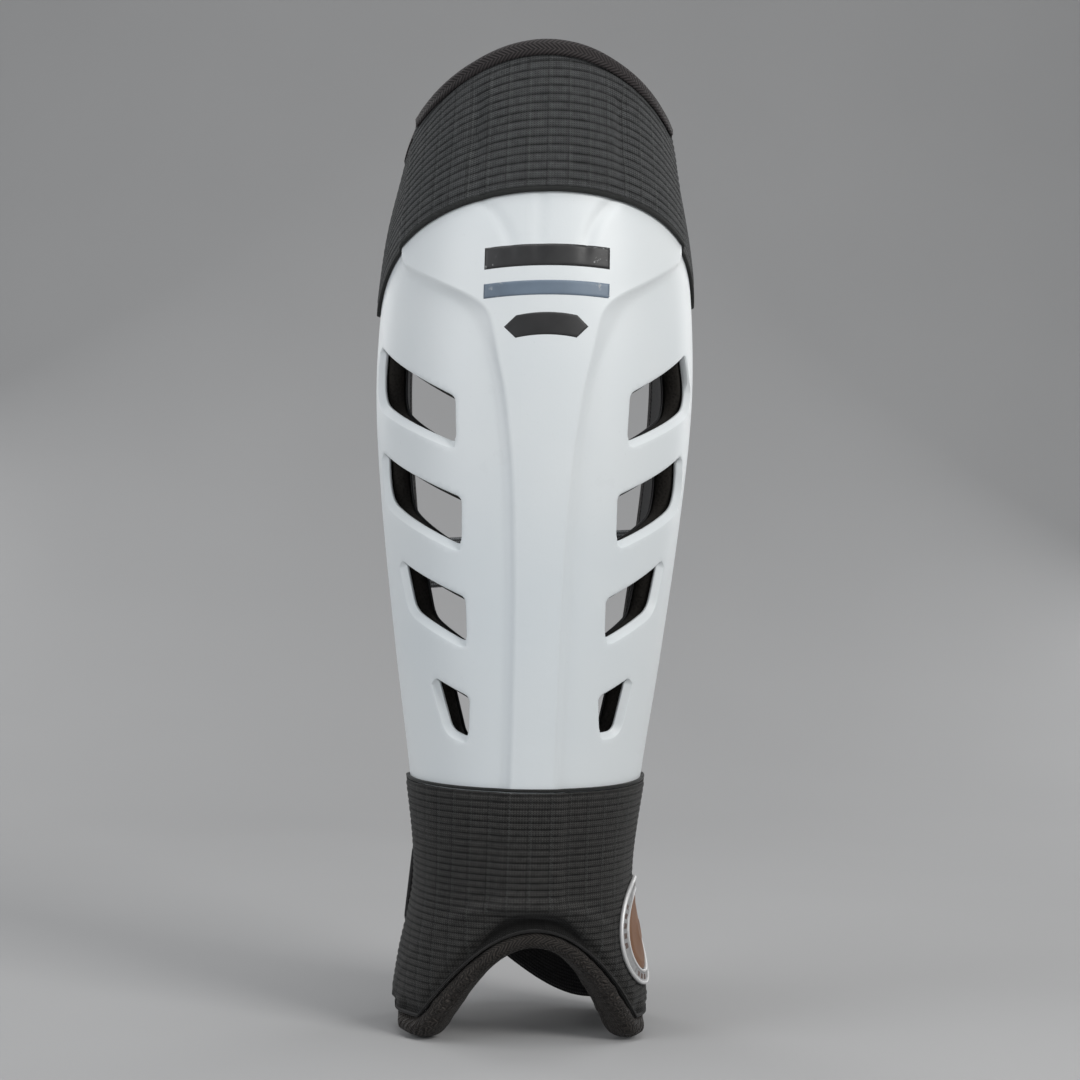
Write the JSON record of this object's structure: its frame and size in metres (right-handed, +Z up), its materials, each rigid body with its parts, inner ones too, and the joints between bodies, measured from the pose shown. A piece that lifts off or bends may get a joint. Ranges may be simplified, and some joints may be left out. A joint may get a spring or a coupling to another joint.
{
  "type": "shin guard",
  "caption": "Shin and ankle guard: a curved, vented plastic shell on a foam liner with ribbed knit covers, padded instep roll and hook-and-loop straps behind the leg.",
  "frame": {"origin": "centre of the bounding box in plan, on the floor under the soles", "axes": "+Z up along the shin, front of the shin faces -Y, +X to the viewer's right (outer side of the left leg)"},
  "size_m": [0.1157, 0.0919, 0.34],
  "materials": {
    "shell_plastic": "smooth with a light sheen, faintly pebbled along the spine",
    "black_print": "flat printed ink",
    "grey_print": "flat printed ink",
    "hook_patch": "hook tape",
    "loop_patch": "loop tape",
    "foam": "closed-cell foam",
    "pad_foam": "fabric-faced foam",
    "lining_fabric": "brushed fabric",
    "rib_knit": "ribbed knit",
    "hem_tape": "folded edge",
    "herringbone_tape": "herringbone tape",
    "badge_silver": "metallic",
    "badge_copper": "metallic",
    "strap_elastic": "woven elastic",
    "calf_elastic": "woven elastic",
    "grey_tape": "woven tape"
  },
  "bodies": {
    "guard": {"shell": "shell_plastic", "shell_patches": "hook_patch", "stripe_black": "black_print", "stripe_grey": "grey_print", "front_mark": "black_print", "foam_liner": "foam", "lining": "lining_fabric", "ankle_foam": "foam", "ankle_pad_left": "pad_foam", "ankle_pad_right": "pad_foam", "top_cover": "rib_knit", "top_cover_hem": "hem_tape", "ankle_cover": "rib_knit", "ankle_cover_hem": "hem_tape", "wing_left": "lining_fabric", "wing_right": "lining_fabric", "top_binding": "herringbone_tape", "side_binding_left": "herringbone_tape", "side_binding_right": "herringbone_tape", "arch_binding": "herringbone_tape", "arch_piping": "hem_tape", "badge_ring": "badge_silver", "badge_disc": "badge_copper", "calf_anchor": "calf_elastic", "calf_loop": "loop_patch", "ankle_anchor": "strap_elastic", "ankle_loop": "loop_patch"},
    "calf_strap": {"calf_strap": "calf_elastic"},
    "calf_tab": {"calf_tab": "hook_patch", "calf_pull": "grey_tape"},
    "ankle_strap": {"ankle_strap": "strap_elastic"},
    "ankle_tab": {"ankle_tab": "hook_patch", "ankle_pull": "grey_tape"}
  },
  "joints": [
    {"name": "calf_strap_swing", "type": "hinge", "parent": "guard", "child": "calf_strap", "pos_m": [0.04997, 0.02341, 0.167], "axis": [-0.1191, -0.0697, -0.9904], "range_deg": [0, 110]},
    {"name": "calf_tab_peel", "type": "hinge", "parent": "calf_strap", "child": "calf_tab", "pos_m": [-0.04832, 0.02772, 0.16], "axis": [0.1237, -0.0702, -0.9898], "range_deg": [0, 100]},
    {"name": "ankle_strap_swing", "type": "hinge", "parent": "guard", "child": "ankle_strap", "pos_m": [0.04074, 0.01836, 0.0295], "axis": [0.1395, 0, -0.9902], "range_deg": [0, 110]},
    {"name": "ankle_tab_peel", "type": "hinge", "parent": "ankle_strap", "child": "ankle_tab", "pos_m": [-0.03767, 0.0236, 0.048], "axis": [-0.0863, 0.0163, -0.9961], "range_deg": [0, 100]}
  ]
}
